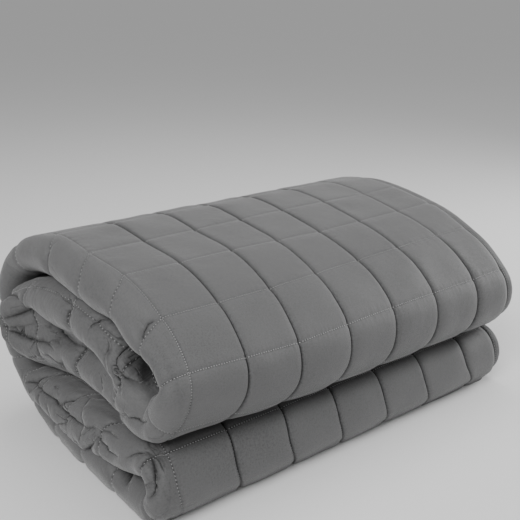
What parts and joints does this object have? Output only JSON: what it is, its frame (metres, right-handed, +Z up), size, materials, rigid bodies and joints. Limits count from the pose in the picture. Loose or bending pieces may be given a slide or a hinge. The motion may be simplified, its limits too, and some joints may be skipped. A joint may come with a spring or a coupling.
{
  "type": "weighted blanket",
  "caption": "Grey quilted weighted blanket with hemmed edges and sewn corner loops, folded flat into a soft stack with rounded fronts.",
  "frame": {"origin": "on the surface that the folded blanket lies on, under the middle of its box", "axes": "+X from the fold's nose to the hems, the longest way; +Y from the rounded fronts to the back; +Z up"},
  "size_m": [0.7068, 0.4742, 0.3184],
  "materials": {
    "quilted_cloth": "fine plain-woven mid-grey cloth, quilted in squares with tone-on-tone stitching",
    "loop_tape": "folded tape of the same grey cloth, stitched across"
  },
  "bodies": {
    "root": {"blanket": "quilted_cloth", "corner_loop_1": "loop_tape", "corner_loop_2": "loop_tape", "corner_loop_3": "loop_tape", "corner_loop_4": "loop_tape"}
  },
  "joints": []
}
